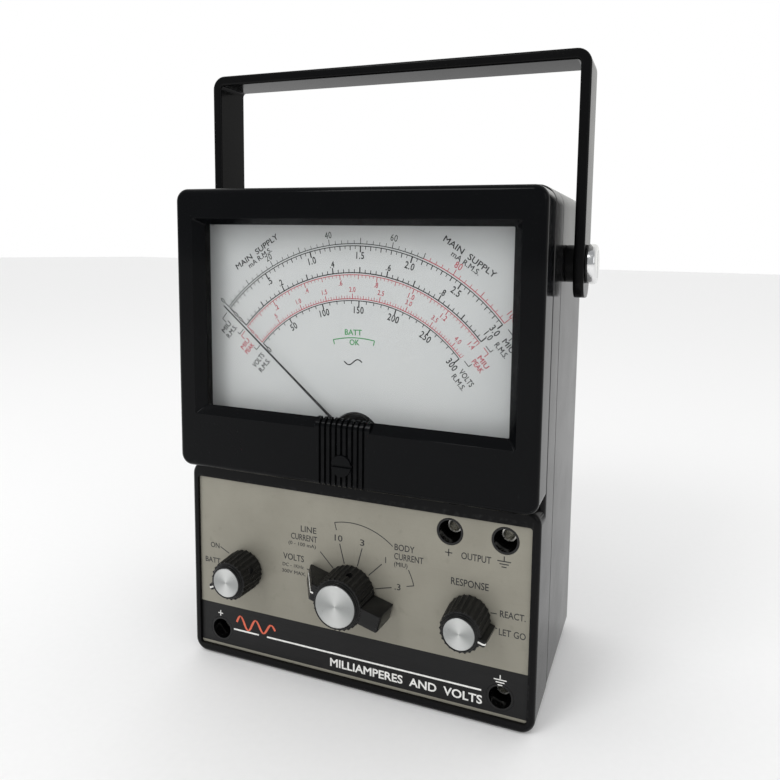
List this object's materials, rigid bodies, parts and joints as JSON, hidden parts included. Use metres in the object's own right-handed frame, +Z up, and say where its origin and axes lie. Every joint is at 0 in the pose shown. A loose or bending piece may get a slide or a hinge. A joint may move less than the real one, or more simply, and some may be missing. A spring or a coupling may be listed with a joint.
{
  "type": "leakage current meter",
  "caption": "Bench leakage-current meter: moulded case, moving-coil meter over a metal control panel, rotary controls, banana sockets and a swinging bail handle.",
  "frame": {"origin": "middle of the instrument's outline at the level of the base it stands on, with the handle up", "axes": "+X to the user's right, -Y out of the dial and panel towards the user, +Z up"},
  "size_m": [0.156, 0.0839, 0.2246],
  "materials": {
    "case_moulding": "fine moulded texture",
    "cover_moulding": "semi-gloss",
    "handle_moulding": "satin",
    "panel_metal": "brushed, pale gold anodised",
    "screw_steel": "plated",
    "foot_rubber": "matt",
    "window": "clear",
    "dial": "matt",
    "black_trim": "satin",
    "bracket_steel": "zinc plated",
    "magnet_iron": "machined",
    "brass_parts": "satin",
    "coil_copper": "enamelled wire",
    "needle_black": "matt",
    "knob_moulding": "satin",
    "spun_aluminium": "spun",
    "shaft_steel": "plated",
    "wafer_board": "laminate",
    "nut_plate": "nickel plated",
    "socket_plastic": "polished",
    "contact_metal": "nickel plated",
    "board_green": "laminate",
    "component_mix": "satin",
    "battery_jacket": "satin",
    "dark_washer": "satin",
    "pivot_chrome": "polished"
  },
  "bodies": {
    "case": {"front_panel": "case_moulding", "rear_case": "case_moulding", "panel_plate": "panel_metal", "case_screws": "screw_steel", "back_feet": "foot_rubber", "meter_cover": "cover_moulding", "window_glass": "window", "dial_plate": "dial", "dial_screws": "screw_steel", "pivot_cover": "black_trim", "meter_base": "black_trim", "meter_screws": "screw_steel", "movement_bracket": "bracket_steel", "magnet_ring": "magnet_iron", "core": "magnet_iron", "front_bridge": "brass_parts", "rear_bridge": "brass_parts", "front_hairspring": "brass_parts", "rear_hairspring": "brass_parts", "range_switch": "bracket_steel", "range_wafers": "wafer_board", "power_switch": "bracket_steel", "response_switch": "bracket_steel", "switch_nuts": "nut_plate", "output_shells": "socket_plastic", "output_contacts": "contact_metal", "input_shells": "socket_plastic", "input_contacts": "contact_metal", "socket_nuts": "nut_plate", "circuit_board": "board_green", "board_parts": "component_mix", "board_spacers": "shaft_steel", "board_screws": "screw_steel", "battery": "battery_jacket", "battery_clip": "bracket_steel", "battery_snap": "black_trim", "handle_hubs": "case_moulding", "handle_washers": "dark_washer", "handle_screws": "pivot_chrome", "handle_nuts": "nut_plate"},
    "handle": {"handle": "handle_moulding"},
    "range_control": {"range_knob": "knob_moulding", "range_cap": "spun_aluminium", "range_grub": "screw_steel", "range_shaft": "shaft_steel"},
    "power_control": {"power_knob": "knob_moulding", "power_cap": "spun_aluminium", "power_grub": "screw_steel", "power_shaft": "shaft_steel"},
    "response_control": {"response_knob": "knob_moulding", "response_cap": "spun_aluminium", "response_grub": "screw_steel", "response_shaft": "shaft_steel"},
    "needle_movement": {"needle": "needle_black", "moving_coil": "coil_copper"},
    "zero_control": {"zero_screw": "black_trim"},
    "zero_lever": {"zero_arm": "brass_parts"}
  },
  "joints": [
    {"name": "handle_swing", "type": "hinge", "parent": "case", "child": "handle", "pos_m": [0, 0.00065, 0.1541], "axis": [1, 0, 0], "range_deg": [-130, 130]},
    {"name": "range_turn", "type": "hinge", "parent": "case", "child": "range_control", "pos_m": [0, -0.03745, 0.0367], "axis": [0, 1, 0], "range_deg": [0, 150]},
    {"name": "power_turn", "type": "hinge", "parent": "case", "child": "power_control", "pos_m": [-0.0443, -0.03745, 0.0367], "axis": [0, 1, 0], "range_deg": [0, 60]},
    {"name": "response_turn", "type": "hinge", "parent": "case", "child": "response_control", "pos_m": [0.0443, -0.03745, 0.0367], "axis": [0, 1, 0], "range_deg": [-30, 0]},
    {"name": "needle_deflection", "type": "hinge", "parent": "case", "child": "needle_movement", "pos_m": [0, -0.01745, 0.0912], "axis": [0, 1, 0], "range_deg": [0, 100], "stiffness_Nm_per_rad": 0.00002},
    {"name": "zero_turn", "type": "hinge", "parent": "case", "child": "zero_control", "pos_m": [0, -0.03545, 0.0846], "axis": [0, 1, 0], "range_deg": [-90, 90]},
    {"name": "zero_lever_swing", "type": "hinge", "parent": "case", "child": "zero_lever", "pos_m": [0, -0.02565, 0.0912], "axis": [0, 1, 0], "range_deg": [-5.5, 5.5]}
  ],
  "couplings": [
    {"joint": "zero_lever_swing", "follows": "zero_turn", "ratio": -0.0578}
  ]
}
